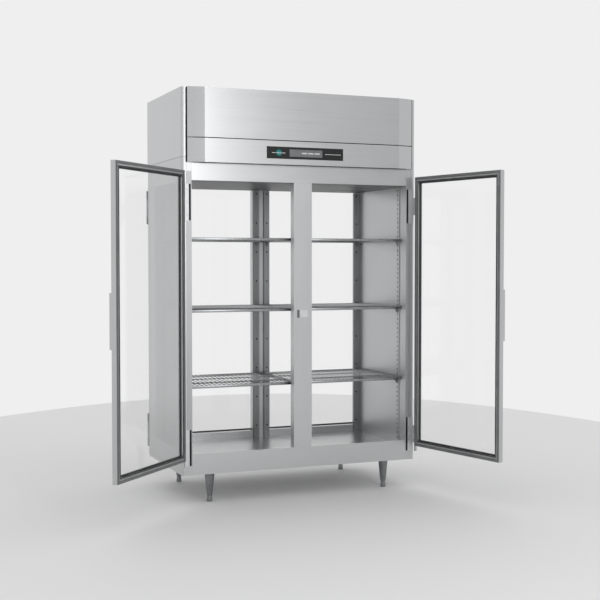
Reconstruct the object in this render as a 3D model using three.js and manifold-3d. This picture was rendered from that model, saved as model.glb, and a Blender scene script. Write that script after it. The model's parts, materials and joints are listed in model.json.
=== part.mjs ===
// Two-section pass-through glass door merchandiser with top-mounted refrigeration.
// Millimetres, +Z up, floor at z = 0. Seen from the front, +X is right and +Y runs to the back.
import * as THREE from 'three';
import { mergeVertices } from 'three/addons/utils/BufferGeometryUtils.js';
import Module from 'manifold-3d';

const wasm = await Module();
wasm.setup();

// ---------- driving dimensions ----------

const WIDTH = 1324;
const DEPTH = 676;
const BODY_HEIGHT = 1968;
const LEG_HEIGHT = 152;
const GAP = 0.3;

// Levels above the underside of the body.
const FLOOR_TOP = 70;
const SILL_TOP = 108;
const CEILING = 1500;
const HEADER_TOP = 1589;
const WALL_TOP = 1616;
const CONTROL_TOP = 1712;

const WALL = 42;
const JAMB = 54;
const FRAME_DEPTH = 40;
const MULLION_WIDTH = 102;
const CORNER_RADIUS = 14;
const FLANGE = 24;
const SHEET = 2;
const GROOVE_WIDTH = 2.5;
const GROOVE_DEPTH = 2;
const CEILING_RISE = 5;

const DOOR_WIDTH = 645;
const DOOR_BOTTOM = 78;
const DOOR_TOP = 1546;
const DOOR_THICK = 26;
const DOOR_BORDER = 28;
const DOOR_SPACE = 6;
const GLASS_THICK = 12;
const GLASS_LIP = 2;
const GLASS_LIP_WIDTH = 3;
const GASKET_INSET = 2;
const GASKET_WIDTH = 13;
const OPEN_LEFT = 135;
const OPEN_RIGHT = 103;

const HINGE_BOTTOMS = [48, 1296];
const HINGE_HEIGHT = 185;
const HINGE_LUG = 45;
const HINGE_ARM = 4;
const HINGE_LEAF = 35;
const LEAF_THICK = 3;
const PIN_RADIUS = 5.5;
const PIN_INSET = 3;
const ARM_STEP = 4;
const DOOR_INSET = 8;

const HANDLE_BOTTOM = 690;
const HANDLE_TOP = 948;
const HANDLE_OUT = 11;
const HANDLE_FOOT = 13;
const HANDLE_WALL = 2.5;
const HANDLE_FACE = 2;
const HANDLE_HOOK = 1.5;
const LOCK_LEVEL = 811;
const LOCK_RADIUS = 5.5;
const LOCK_INSET = 20;
const LOCK_DEPTH = 20;
const LOCK_PROUD = 2.5;
const KEYWAY = [1.4, 6, 2];

const HOOD_FORWARD = 34;
const HOOD_SHOULDER = 13;
const HOOD_CHAMFER = 86;
const HOOD_BACK = 18;
const HOOD_SEAM = 4.5;
const SEAM = 1.5;
const HOOD_MARGIN = 4;
const HOOD_BACK_INSET = 40;
const DISPLAY_WIDTH = 430;
const DISPLAY_LEVELS = [1620, 1682];
const BEZEL_LIP = 6;
const BEZEL_PROUD = 2.3;
const DISPLAY_DEPTH = 26;

const SHELF_LEVELS = { lower: 448, middle: 840, upper: 1212 };
const SHELF_CLEAR = 15;
const SHELF_MEET = 4;
const SHELF_FRONT = 66;
const SHELF_BACK = 612;
const SHELF_FRAME = 14;
const SHELF_BAR = 9;
const SHELF_WIRES = 8;
const WIRE = 4;
const BEARER = 6;

const LEG_X = 500;
const LEG_INSET = 55;
const LEG_RADIUS = 26;
const LEG_TAPER = 10;
const LEG_RIM = 8;
const FOOT_TOP = 46;
const STEM_RADIUS = 6;
const STEM_TOP = 92;
const STEM_CLEAR = 0.4;
const STEM_SPACE = 3;
// Radius and level up the foot: a rounded pad, a waist and a collar.
const PAD_PROFILE = [[0, 0], [13, 0], [14.5, 4], [12.5, 30], [15, 40]];

// The refrigeration unit. Pairs are from one side to the other, or from front to back.
// Heights here are above the deck, the top of the ceiling panel.
const TRAY = 4;
const LAP = 1;
const FIN_PITCH = 16;
const FIN_THICK = 4;
const FIN_DEPTH = 8;
const BLADES = 5;
const BLADE_THICK = 3;
const BLADE_TILT = 28;
const BLADE_ROOT = 12;
const HUB_RADIUS = 22;
const BRACKET = 15;

const PUMP_X = -400;
const PUMP_Y = 360;
const PUMP_LIFT = 6;
// Radius and height of the domed can.
const PUMP_PROFILE = [[0, 0], [70, 0], [92, 20], [96, 70], [96, 150], [80, 190], [45, 208], [0, 212]];
const PUMP_PLATE = [120, 90, 8];
const TERMINAL_BOX = { x: [60, 118], y: [-30, 30], z: [66, 136] };

const WARM_X = [-230, 170];
const WARM_TRAY = [80, 300];
const WARM_COIL = [84, 130];
const WARM_HEIGHT = 310;
const WARM_AXLE = 165;
const WARM_FAN = { y: 195, radius: 115, thick: 26 };
const WARM_MOTOR = { y: [215, 285], radius: 38 };
const WARM_STRUT = [255, 275];

const AIR_LENGTH = 180;
const AIR_WIDTH = 50;
const COLD_X = 440;
const COLD_SPAN = [-170, 165];
const COLD_SLOTS = [200, 440];
const COLD_TRAY = [110, 560];
const COLD_COIL = [150, 300];
const COLD_HEIGHT = 165;
const COLD_INSET = 10;
const COLD_FAN = { level: 70, radius: 85, thick: 22 };
const COLD_MOTOR = { z: [90, 155], radius: 34 };
const COLD_BEAM = [150, 162];

const BOX_HALF = 110;
const BOX_DEPTH = 110;
const BOX_LEVELS = [-80, 90];
const STAND_HALF = 80;
const STAND_Y = [-100, -20];
const GLAND_OUT = 14;
const GLAND_X = 40;
const GLAND_LEVEL = 1689;
const GLAND_RADIUS = 13;

const up = (level) => level + LEG_HEIGHT;
const HALF = WIDTH / 2;
const OPENING = HALF - JAMB;
const INSIDE = HALF - WALL;
const PIN_X = HALF - PIN_INSET;
const PIN_Y = DOOR_SPACE + DOOR_THICK / 2 + 1;
const TOP = up(BODY_HEIGHT);
const DECK = up(HEADER_TOP) + GAP;
const GLAND_Z = up(GLAND_LEVEL);

// ---------- materials ----------

const metal = (color, roughness) => new THREE.MeshStandardMaterial({ color, roughness, metalness: 1 });
const plain = (color, roughness) => new THREE.MeshStandardMaterial({ color, roughness, metalness: 0 });
const STEEL = metal(0xc4c5c5, 0.34);
const ALUMINIUM = metal(0xb9bcbd, 0.38);
const HARDWARE = metal(0xa4a7a8, 0.3);
const GASKET = plain(0x4a4b4b, 0.75);
const BLACK = plain(0x121314, 0.3);
const ENAMEL = plain(0x1b1c1e, 0.45);
const GLASS = new THREE.MeshStandardMaterial({
  color: 0xe9f0ee, roughness: 0.03, metalness: 0, transparent: true, opacity: 0.22,
});

// ---------- shape helpers ----------

function box(x0, x1, y0, y1, z0, z1) {
  const solid = new THREE.BoxGeometry(x1 - x0, y1 - y0, z1 - z0);
  return solid.translate((x0 + x1) / 2, (y0 + y1) / 2, (z0 + z1) / 2);
}

// An outline of [x, y] points, raised from z0 to z1.
function prism(points, z0, z1) {
  const outline = new THREE.Shape(points.map(([x, y]) => new THREE.Vector2(x, y)));
  const solid = new THREE.ExtrudeGeometry(outline, { depth: z1 - z0, bevelEnabled: false });
  return solid.translate(0, 0, z0);
}

// Points of an arc round [x, y], from one angle to another in degrees.
function arc(x, y, radius, from, to, steps = 4) {
  const points = [];
  for (let i = 0; i <= steps; i += 1) {
    const angle = THREE.MathUtils.degToRad(from + (to - from) * i / steps);
    points.push([x + radius * Math.cos(angle), y + radius * Math.sin(angle)]);
  }
  return points;
}

// A turned solid about Z: profile points are [radius, z], from the axis back to the axis.
function turned(profile, x, y, segments = 16) {
  const points = profile.map(([r, z]) => new THREE.Vector2(r, z));
  const solid = new THREE.LatheGeometry(points, segments);
  return solid.rotateX(Math.PI / 2).translate(x, y, 0);
}

function rod(radius, x, y, z0, z1, segments = 16) {
  return turned([[0, z0], [radius, z0], [radius, z1], [0, z1]], x, y, segments);
}

// A rod along Y in place of Z.
function crossRod(radius, x, y0, y1, z, segments = 16) {
  const solid = new THREE.CylinderGeometry(radius, radius, y1 - y0, segments);
  return solid.translate(x, (y0 + y1) / 2, z);
}

function toSolid(geometry) {
  const bare = geometry.clone();
  bare.deleteAttribute('normal');
  bare.deleteAttribute('uv');
  const merged = mergeVertices(bare, 1e-4);
  const vertProperties = new Float32Array(merged.attributes.position.array);
  const triVerts = new Uint32Array(merged.index.array);
  return new wasm.Manifold(new wasm.Mesh({ numProp: 3, vertProperties, triVerts }));
}

function toGeometry(solid) {
  const mesh = solid.getMesh();
  const geometry = new THREE.BufferGeometry();
  geometry.setAttribute('position', new THREE.BufferAttribute(mesh.vertProperties, 3));
  geometry.setIndex(new THREE.BufferAttribute(mesh.triVerts, 1));
  return geometry;
}

function join(...pieces) {
  return toGeometry(pieces.map(toSolid).reduce((whole, piece) => whole.add(piece)));
}

function cut(body, ...tools) {
  return toGeometry(tools.map(toSolid).reduce((whole, tool) => whole.subtract(tool), toSolid(body)));
}

// The right-hand copy of a left-hand piece: X changes sign, and each triangle is turned over.
function mirrored(geometry) {
  const copy = toGeometry(toSolid(geometry)).scale(-1, 1, 1);
  const index = copy.index.array;
  for (let i = 0; i < index.length; i += 3) {
    [index[i], index[i + 1]] = [index[i + 1], index[i]];
  }
  return copy;
}

function part(name, geometry, material) {
  const mesh = new THREE.Mesh(geometry, material);
  mesh.name = name;
  return mesh;
}

// ---------- cabinet ----------

// Left insulated wall with its outer skin: rounded corners, a groove beside each flange, and a lip
// at each end that forms the jamb. The hinge leaves lie in pockets in the jamb faces.
function wall() {
  const r = CORNER_RADIUS;
  const flange = -HALF + FLANGE;
  const inner = flange + GROOVE_WIDTH;
  const groove = [[flange, 0], [flange, GROOVE_DEPTH], [inner, GROOVE_DEPTH], [inner, 0]];
  const lip = [[-OPENING, 0], [-OPENING, FRAME_DEPTH], [-INSIDE, FRAME_DEPTH]];
  const toBack = ([x, y]) => [x, DEPTH - y];
  const outline = [
    ...arc(-HALF + r, r, r, 180, 270),
    ...groove,
    ...lip,
    ...lip.map(toBack).reverse(),
    ...groove.map(toBack).reverse(),
    ...arc(-HALF + r, DEPTH - r, r, 90, 180),
  ];
  const pockets = HINGE_BOTTOMS.flatMap((bottom) => {
    const x = [-PIN_X + HINGE_ARM - GAP, -PIN_X + HINGE_LEAF + GAP];
    const z = [up(bottom) - GAP, up(bottom) + HINGE_HEIGHT + GAP];
    const depth = LEAF_THICK + GAP;
    return [box(...x, -LAP, depth, ...z), box(...x, DEPTH - depth, DEPTH + LAP, ...z)];
  });
  return cut(prism(outline, LEG_HEIGHT, up(WALL_TOP)), ...pockets);
}

// Sheet steel sides and back round the refrigeration unit, open at the top for the warm air.
function machineHousing() {
  const corner = HALF - CORNER_RADIUS;
  const front = CORNER_RADIUS;
  const back = DEPTH - CORNER_RADIUS;
  const end = HALF - FLANGE;
  const ring = (radius, edge) => [
    [-end, edge],
    ...arc(-corner, front, radius, 270, 180),
    ...arc(-corner, back, radius, 180, 90),
    ...arc(corner, back, radius, 90, 0),
    ...arc(corner, front, radius, 0, -90),
    [end, edge],
  ];
  const outline = [...ring(CORNER_RADIUS, 0), ...ring(CORNER_RADIUS - SHEET, SHEET).reverse()];
  const shell = prism(outline, up(WALL_TOP) + SEAM, TOP);
  return cut(shell, crossRod(GLAND_RADIUS + 1, GLAND_X, DEPTH - SHEET - LAP, DEPTH + LAP, GLAND_Z));
}

// Two slots through the ceiling: one draws warm air up to the fan, one sends cold air down.
function airSlots() {
  const x = [COLD_X - AIR_LENGTH / 2, COLD_X + AIR_LENGTH / 2];
  const z = [up(CEILING), DECK + TRAY + LAP];
  return COLD_SLOTS.map((y) => box(...x, y - AIR_WIDTH / 2, y + AIR_WIDTH / 2, ...z));
}

function cabinet() {
  const across = [-OPENING + GAP, OPENING - GAP];
  const between = [-INSIDE + GAP, INSIDE - GAP];
  const front = [0, FRAME_DEPTH];
  const back = [DEPTH - FRAME_DEPTH, DEPTH];
  const middle = [FRAME_DEPTH + GAP, DEPTH - FRAME_DEPTH - GAP];
  const header = [up(CEILING), up(HEADER_TOP)];
  const sill = [LEG_HEIGHT, up(SILL_TOP)];
  const mullion = [-MULLION_WIDTH / 2, MULLION_WIDTH / 2];
  const upright = [up(SILL_TOP) + GAP, up(CEILING) - GAP];
  const ceiling = box(...between, ...middle, up(CEILING) + CEILING_RISE, up(HEADER_TOP));
  const upstand = box(...across, DEPTH - SHEET, DEPTH, up(HEADER_TOP) - LAP, up(WALL_TOP));
  return [
    part('left_wall', wall(), STEEL),
    part('right_wall', mirrored(wall()), STEEL),
    part('floor_pan', box(...between, ...middle, LEG_HEIGHT, up(FLOOR_TOP)), STEEL),
    part('ceiling_panel', cut(ceiling, ...airSlots()), STEEL),
    part('front_sill', box(...across, ...front, ...sill), STEEL),
    part('rear_sill', box(...across, ...back, ...sill), STEEL),
    part('front_header', box(...across, ...front, ...header), STEEL),
    part('rear_header', join(box(...across, ...back, ...header), upstand), STEEL),
    part('front_mullion', box(...mullion, ...front, ...upright), STEEL),
    part('rear_mullion', box(...mullion, ...back, ...upright), STEEL),
    part('machine_housing', machineHousing(), STEEL),
  ];
}

// ---------- hood, control panel and display ----------

// Plan of the fascia, which stands forward between two chamfered ends.
function fasciaPlan(inset) {
  const outer = HALF - FLANGE - HOOD_MARGIN;
  const end = outer - inset;
  const flat = outer - HOOD_CHAMFER - inset / 4;
  const right = [[end, -GAP], [end, -HOOD_SHOULDER + inset / 2], [flat, -HOOD_FORWARD + inset]];
  return [...right, ...right.map(([x, y]) => [-x, y]).reverse()];
}

function fascia(z0, z1) {
  return prism([...fasciaPlan(0), ...fasciaPlan(SHEET).reverse()], z0, z1);
}

function fasciaPanels() {
  const face = -HOOD_FORWARD;
  const [low, high] = DISPLAY_LEVELS.map(up);
  const half = DISPLAY_WIDTH / 2;
  const inner = (gap) => [-half + gap, half - gap];
  const tall = (gap) => [low + gap, high - gap];
  const snug = BEZEL_LIP + GAP;
  const window = box(...inner(BEZEL_LIP), face - LAP, face + SHEET + LAP, ...tall(BEZEL_LIP));
  const strip = fascia(up(HEADER_TOP) + SEAM, up(CONTROL_TOP));
  const bezel = box(...inner(0), face - BEZEL_PROUD, face - GAP, ...tall(0));
  const body = box(...inner(snug), face - LAP, face + DISPLAY_DEPTH, ...tall(snug));
  const rear = HALF - HOOD_BACK_INSET;
  const cap = prism([...fasciaPlan(0), [-rear, HOOD_BACK], [rear, HOOD_BACK]], TOP - SHEET, TOP);
  const hood = join(fascia(up(CONTROL_TOP) + HOOD_SEAM, TOP), cap);
  return [
    part('control_panel', cut(strip, window), STEEL),
    part('display_module', join(bezel, body), BLACK),
    part('hood_panel', hood, STEEL),
  ];
}

// ---------- doors ----------

// A left-hand door is built shut, with the hinge pin at x = 0, y = 0 and the door running to +X.
// Its outer face looks to -Y. A right-hand door is the mirror image.
const EDGE = DOOR_INSET;
const FREE = EDGE + DOOR_WIDTH;
const INNER = PIN_Y - DOOR_SPACE;
const OUTER = INNER - DOOR_THICK;
const LOCK_X = FREE - LOCK_INSET;
const [Z0, Z1] = [up(DOOR_BOTTOM), up(DOOR_TOP)];

function frameHole(border, y0, y1) {
  return box(EDGE + border, FREE - border, y0, y1, Z0 + border, Z1 - border);
}

// Two lugs at each hinge reach from the door's edge round the pin, above and below the fixed arm.
function hingeLugs() {
  return HINGE_BOTTOMS.flatMap((bottom) => {
    const low = up(bottom);
    const high = low + HINGE_HEIGHT - HINGE_LUG;
    return [low, high].flatMap((z) => [
      rod(PIN_RADIUS, 0, 0, z, z + HINGE_LUG, 12),
      box(0, EDGE + LAP, -PIN_RADIUS, PIN_RADIUS, z, z + HINGE_LUG),
    ]);
  });
}

function doorFrame(locked) {
  const slab = box(EDGE, FREE, OUTER, INNER, Z0, Z1);
  const holes = [
    frameHole(DOOR_BORDER, OUTER + GLASS_LIP, INNER + LAP),
    frameHole(DOOR_BORDER + GLASS_LIP_WIDTH, OUTER - LAP, OUTER + GLASS_LIP + LAP),
  ];
  if (locked) {
    holes.push(crossRod(LOCK_RADIUS + GAP, LOCK_X, OUTER - LAP, OUTER + LOCK_DEPTH, up(LOCK_LEVEL), 12));
  }
  return join(cut(slab, ...holes), ...hingeLugs());
}

function doorGlass() {
  const border = DOOR_BORDER + GAP;
  const face = OUTER + GLASS_LIP + GAP;
  return frameHole(border, face, face + GLASS_THICK);
}

function doorGasket() {
  const outside = frameHole(GASKET_INSET, INNER + GAP, PIN_Y - 0.8);
  return cut(outside, frameHole(GASKET_INSET + GASKET_WIDTH, INNER, PIN_Y));
}

// Bent edge pull: a foot on the door, a wall at the free edge and a lip turned back over a finger gap.
function doorHandle() {
  const face = OUTER - GAP;
  const tip = OUTER - HANDLE_OUT;
  const edge = FREE - 0.5;
  const foot = edge - HANDLE_FOOT;
  const wall = edge - HANDLE_WALL;
  const lip = foot - GAP;
  const hook = lip + HANDLE_HOOK;
  const end = tip + HANDLE_FACE + HANDLE_HOOK;
  const outline = [
    [foot, face], [foot, face - HANDLE_HOOK], [wall, face - HANDLE_HOOK], [wall, tip + HANDLE_FACE],
    [hook, tip + HANDLE_FACE], [hook, end], [lip, end], [lip, tip], [edge, tip], [edge, face],
  ];
  return prism(outline, up(HANDLE_BOTTOM), up(HANDLE_TOP));
}

function doorLock() {
  const z = up(LOCK_LEVEL);
  const front = OUTER - LOCK_PROUD;
  const [wide, tall, deep] = KEYWAY;
  const barrel = crossRod(LOCK_RADIUS, LOCK_X, front, OUTER + LOCK_DEPTH - LAP, z, 12);
  const key = [LOCK_X - wide / 2, LOCK_X + wide / 2, front - LAP, front + deep, z - tall / 2, z + tall / 2];
  return cut(barrel, box(...key));
}

// Leaf let into the jamb, with an arm out to the knuckle between the door's two lugs.
function hingeLeaf(bottom) {
  const z = up(bottom);
  const face = PIN_Y + 0.2;
  const back = PIN_Y + LEAF_THICK;
  const leaf = [[HINGE_ARM, face], [HINGE_LEAF, face], [HINGE_LEAF, back], [HINGE_ARM, back]];
  const near = HINGE_ARM + LAP;
  const far = HINGE_ARM + ARM_STEP;
  const arm = [
    ...arc(0, 0, PIN_RADIUS, 180, 360, 6),
    [PIN_RADIUS, face], [far, face], [far, back - GAP], [near, back - GAP], [near, PIN_Y + LAP],
    [-PIN_RADIUS, PIN_Y + LAP],
  ];
  const clear = HINGE_LUG + GAP;
  return join(prism(leaf, z, z + HINGE_HEIGHT), prism(arm, z + clear, z + HINGE_HEIGHT - clear));
}

function door(name, right, opened, locked) {
  const hand = (geometry) => (right ? mirrored(geometry) : geometry);
  const leaf = new THREE.Group();
  leaf.add(part(`${name}_door_frame`, hand(doorFrame(locked)), STEEL));
  leaf.add(part(`${name}_door_glass`, hand(doorGlass()), GLASS));
  leaf.add(part(`${name}_door_gasket`, hand(doorGasket()), GASKET));
  leaf.add(part(`${name}_door_handle`, hand(doorHandle()), HARDWARE));
  if (locked) {
    leaf.add(part(`${name}_door_lock`, hand(doorLock()), HARDWARE));
  }
  leaf.rotation.z = THREE.MathUtils.degToRad(right ? opened : -opened);
  const hung = new THREE.Group();
  hung.position.set(right ? PIN_X : -PIN_X, -PIN_Y, 0);
  hung.add(leaf);
  ['lower', 'upper'].forEach((place, i) => {
    hung.add(part(`${name}_${place}_hinge`, hand(hingeLeaf(HINGE_BOTTOMS[i])), HARDWARE));
  });
  return hung;
}

// The rear doors are the front ones turned half round, so their left hand is at +X.
function doors() {
  const rear = new THREE.Group();
  rear.add(door('rear_right', false, 0, false), door('rear_left', true, 0, false));
  rear.rotation.z = Math.PI;
  rear.position.set(0, DEPTH, 0);
  return [door('front_left', false, OPEN_LEFT, true), door('front_right', true, OPEN_RIGHT, true), rear];
}

// ---------- shelves ----------

// Wire shelf: a rim, two bearers across, and wires from front to back.
function shelf(level) {
  const [x0, x1] = [SHELF_MEET, INSIDE - SHELF_CLEAR];
  const [y0, y1] = [SHELF_FRONT, SHELF_BACK];
  const top = up(level);
  const low = top - SHELF_FRAME;
  const rim = (span) => box(...span, low, top);
  const bars = [
    rim([x0, x1, y0, y0 + SHELF_BAR]), rim([x0, x1, y1 - SHELF_BAR, y1]),
    rim([x0, x0 + SHELF_BAR, y0, y1]), rim([x1 - SHELF_BAR, x1, y0, y1]),
  ];
  for (const third of [1, 2]) {
    const y = y0 + (y1 - y0) * third / 3;
    bars.push(box(x0 + LAP, x1 - LAP, y - BEARER / 2, y + BEARER / 2, low + LAP, top - WIRE));
  }
  for (let i = 1; i <= SHELF_WIRES; i += 1) {
    const x = x0 + (x1 - x0) * i / (SHELF_WIRES + 1);
    bars.push(box(x - WIRE / 2, x + WIRE / 2, y0 + LAP, y1 - LAP, top - WIRE - LAP, top - LAP));
  }
  return join(...bars);
}

function shelves() {
  return Object.entries(SHELF_LEVELS).flatMap(([place, level]) => {
    const right = shelf(level);
    return [
      part(`left_${place}_shelf`, mirrored(right), HARDWARE),
      part(`right_${place}_shelf`, right, HARDWARE),
    ];
  });
}

// ---------- legs ----------

function leg(x, y) {
  const bore = STEM_RADIUS + STEM_CLEAR;
  const depth = STEM_TOP + STEM_SPACE;
  const profile = [
    [0, depth], [bore, depth], [bore, FOOT_TOP], [LEG_RADIUS - LEG_TAPER, FOOT_TOP],
    [LEG_RADIUS, LEG_HEIGHT - LEG_RIM], [LEG_RADIUS, LEG_HEIGHT - GAP], [0, LEG_HEIGHT - GAP],
  ];
  return turned(profile, x, y);
}

function foot(x, y) {
  const collar = PAD_PROFILE[PAD_PROFILE.length - 1][0];
  const profile = [
    ...PAD_PROFILE, [collar, FOOT_TOP - GAP], [STEM_RADIUS, FOOT_TOP - GAP],
    [STEM_RADIUS, STEM_TOP], [0, STEM_TOP],
  ];
  return turned(profile, x, y);
}

function legs() {
  const places = [
    ['front_left', -LEG_X, LEG_INSET], ['front_right', LEG_X, LEG_INSET],
    ['rear_left', -LEG_X, DEPTH - LEG_INSET], ['rear_right', LEG_X, DEPTH - LEG_INSET],
  ];
  return places.flatMap(([name, x, y]) => [
    part(`${name}_leg`, leg(x, y), HARDWARE),
    part(`${name}_foot`, foot(x, y), HARDWARE),
  ]);
}

// ---------- refrigeration ----------

// A coil block with upright fins on its front.
function finned(x0, x1, y0, y1, z0, z1) {
  const plates = [box(x0, x1, y0 + FIN_DEPTH, y1, z0, z1)];
  const count = Math.floor((x1 - x0) / FIN_PITCH);
  const pitch = (x1 - x0 - FIN_THICK) / count;
  for (let i = 0; i <= count; i += 1) {
    const x = x0 + i * pitch;
    plates.push(box(x, x + FIN_THICK, y0, y0 + FIN_DEPTH + LAP, z0, z1));
  }
  return join(...plates);
}

// Tilted blades round a hub, about Z.
function fanBlades({ radius, thick }) {
  const blades = [];
  for (let i = 0; i < BLADES; i += 1) {
    const blade = new THREE.BoxGeometry(radius - BLADE_ROOT, radius / 2, BLADE_THICK);
    blade.rotateX(THREE.MathUtils.degToRad(BLADE_TILT)).translate((radius + BLADE_ROOT) / 2, 0, 0);
    blades.push(blade.rotateZ(i * 2 * Math.PI / BLADES));
  }
  return join(rod(HUB_RADIUS, 0, 0, -thick / 2, thick / 2), ...blades);
}

function compressor() {
  const base = DECK + PUMP_LIFT;
  const shell = turned(PUMP_PROFILE.map(([r, z]) => [r, base + z]), PUMP_X, PUMP_Y, 20);
  const [wide, deep, thick] = PUMP_PLATE;
  const plate = box(PUMP_X - wide, PUMP_X + wide, PUMP_Y - deep, PUMP_Y + deep, DECK, DECK + thick);
  const { x, y, z } = TERMINAL_BOX;
  const terminals = box(
    ...x.map((v) => v + PUMP_X), ...y.map((v) => v + PUMP_Y), ...z.map((v) => v + DECK),
  );
  return part('compressor', join(shell, plate, terminals), ENAMEL);
}

function condenser() {
  const [x0, x1] = WARM_X;
  const [x, z] = [(x0 + x1) / 2, DECK + WARM_AXLE];
  const foot = DECK + TRAY - LAP;
  const coil = join(
    box(x0, x1, ...WARM_TRAY, DECK, DECK + TRAY),
    finned(x0, x1, ...WARM_COIL, foot, DECK + WARM_HEIGHT),
    box(x - BRACKET, x + BRACKET, ...WARM_STRUT, foot, z),
    crossRod(WARM_MOTOR.radius, x, ...WARM_MOTOR.y, z),
  );
  const rotor = fanBlades(WARM_FAN).rotateX(Math.PI / 2).translate(x, WARM_FAN.y, z);
  return [part('condenser_coil', coil, ALUMINIUM), part('condenser_fan', rotor, BLACK)];
}

function evaporator() {
  const [x0, x1] = COLD_SPAN.map((v) => v + COLD_X);
  const fanY = COLD_SLOTS[1];
  const foot = DECK + TRAY - LAP;
  const above = (z) => z + DECK;
  const beam = [COLD_COIL[1] - LAP, fanY, ...COLD_BEAM.map(above)];
  const unit = join(
    cut(box(x0, x1, ...COLD_TRAY, DECK, DECK + TRAY), ...airSlots()),
    finned(x0 + COLD_INSET, x1 - COLD_INSET, ...COLD_COIL, foot, DECK + COLD_HEIGHT),
    box(COLD_X - BRACKET, COLD_X + BRACKET, ...beam),
    rod(COLD_MOTOR.radius, COLD_X, fanY, ...COLD_MOTOR.z.map(above)),
  );
  const rotor = fanBlades(COLD_FAN).translate(COLD_X, fanY, DECK + COLD_FAN.level);
  return [part('evaporator_coil', unit, ALUMINIUM), part('evaporator_fan', rotor, BLACK)];
}

function controlBox() {
  const back = DEPTH - SHEET - GAP;
  const [low, high] = BOX_LEVELS.map((z) => z + GLAND_Z);
  const housing = box(GLAND_X - BOX_HALF, GLAND_X + BOX_HALF, back - BOX_DEPTH, back, low, high);
  const gland = crossRod(GLAND_RADIUS, GLAND_X, back - LAP, DEPTH + GLAND_OUT, GLAND_Z);
  const across = [GLAND_X - STAND_HALF, GLAND_X + STAND_HALF];
  const stand = box(...across, ...STAND_Y.map((y) => y + back), DECK, low + LAP);
  return part('control_box', join(housing, gland, stand), ENAMEL);
}

// ---------- the whole merchandiser ----------

const model = new THREE.Group();
model.add(...cabinet(), ...fasciaPanels(), ...doors(), ...shelves(), ...legs());
model.add(compressor(), ...condenser(), ...evaporator(), controlBox());

// The origin is on the floor, in the middle of the footprint that the open doors widen.
model.updateMatrixWorld(true);
const footprint = new THREE.Box3().setFromObject(model).getCenter(new THREE.Vector3()).round();
model.position.set(-footprint.x, -footprint.y, 0);

export default model;
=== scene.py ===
# %% [markdown]
# # A glass door merchandiser
# This is an upright refrigerator that customers see right through: glass doors at the front and the
# rear, wire shelves between them, and the cooling unit on top behind a folded steel hood.
# The CAD model gives every panel, door and hinge its true size, and this lesson adds the finishes and
# the small parts that make sheet metal look like a real appliance.

# %% Load the frame
import json
import math

import bpy
from mathutils import Matrix, Vector


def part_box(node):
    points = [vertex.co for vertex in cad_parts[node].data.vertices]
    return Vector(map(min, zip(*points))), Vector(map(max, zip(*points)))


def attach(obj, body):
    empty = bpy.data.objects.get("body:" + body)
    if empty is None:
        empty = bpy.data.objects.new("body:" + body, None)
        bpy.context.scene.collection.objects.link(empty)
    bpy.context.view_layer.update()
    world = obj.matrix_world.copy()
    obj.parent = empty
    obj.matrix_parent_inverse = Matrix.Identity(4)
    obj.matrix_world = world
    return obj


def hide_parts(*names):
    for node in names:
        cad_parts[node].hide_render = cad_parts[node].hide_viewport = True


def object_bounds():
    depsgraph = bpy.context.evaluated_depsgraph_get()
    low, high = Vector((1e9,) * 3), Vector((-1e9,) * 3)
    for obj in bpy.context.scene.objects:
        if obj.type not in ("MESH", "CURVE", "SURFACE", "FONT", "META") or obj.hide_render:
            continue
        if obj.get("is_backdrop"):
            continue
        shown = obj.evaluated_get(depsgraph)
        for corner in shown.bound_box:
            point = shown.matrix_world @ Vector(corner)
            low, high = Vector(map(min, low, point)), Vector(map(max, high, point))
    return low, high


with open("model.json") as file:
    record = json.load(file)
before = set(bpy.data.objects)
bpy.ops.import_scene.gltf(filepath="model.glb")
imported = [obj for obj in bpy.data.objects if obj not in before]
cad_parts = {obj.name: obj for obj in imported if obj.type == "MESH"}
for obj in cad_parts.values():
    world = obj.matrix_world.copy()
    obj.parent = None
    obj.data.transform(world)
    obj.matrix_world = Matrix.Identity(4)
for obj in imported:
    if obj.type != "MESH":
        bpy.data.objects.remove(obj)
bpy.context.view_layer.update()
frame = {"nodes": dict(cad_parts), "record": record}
MM = 0.001
joints = {joint["name"]: joint for joint in frame["record"]["behaviour"]["joints"]}

# %% [markdown]
# ## The main measures
# A copy of the CAD's numbers would drift from it, so each measure is read from the box of a named
# piece: the two walls give the middle of the cabinet and its front and rear faces, the floor pan the
# floor and the liner, and the front header the ceiling.

# %% Read the main measures
wall_low, wall_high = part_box("left_wall")[0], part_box("right_wall")[1]
MIDDLE_X = (wall_low.x + wall_high.x) / 2
MIDDLE_Y = (wall_low.y + wall_high.y) / 2
FRONT_Y, BACK_Y = wall_low.y, wall_high.y
LINER_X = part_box("floor_pan")[1].x - MIDDLE_X
FLOOR_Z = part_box("floor_pan")[1].z
CEILING_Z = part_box("front_header")[0].z
BASE_Z = wall_low.z
print("cabinet middle", round(MIDDLE_X, 3), round(MIDDLE_Y, 3))
print("clear height", round(CEILING_Z - FLOOR_Z, 3))

# %% [markdown]
# ## The camera
# A long lens from a standing person's chest height keeps the uprights nearly parallel, as in a
# catalogue. It stands off to the left, so the left side and both open doors show.

# %% Place the camera
CAMERA_LEFT = 2.2769
CAMERA_AWAY = 5.511
CAMERA_HEIGHT = 1.2516
CAMERA_TURN = math.radians(22.3008)
CAMERA_DIP = math.radians(2.0546)
CAMERA_LENS = 67.93
CAMERA_SENSOR = 36
camera_data = bpy.data.cameras.new("camera")
camera_data.lens = CAMERA_LENS
camera_data.sensor_width = CAMERA_SENSOR
camera = bpy.data.objects.new("camera", camera_data)
camera.location = (MIDDLE_X - CAMERA_LEFT, FRONT_Y - CAMERA_AWAY, CAMERA_HEIGHT)
camera.rotation_euler = (math.pi / 2 - CAMERA_DIP, 0, -CAMERA_TURN)
bpy.context.collection.objects.link(camera)
bpy.context.scene.camera = camera
print("camera at", [round(v, 3) for v in camera.location])

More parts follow.
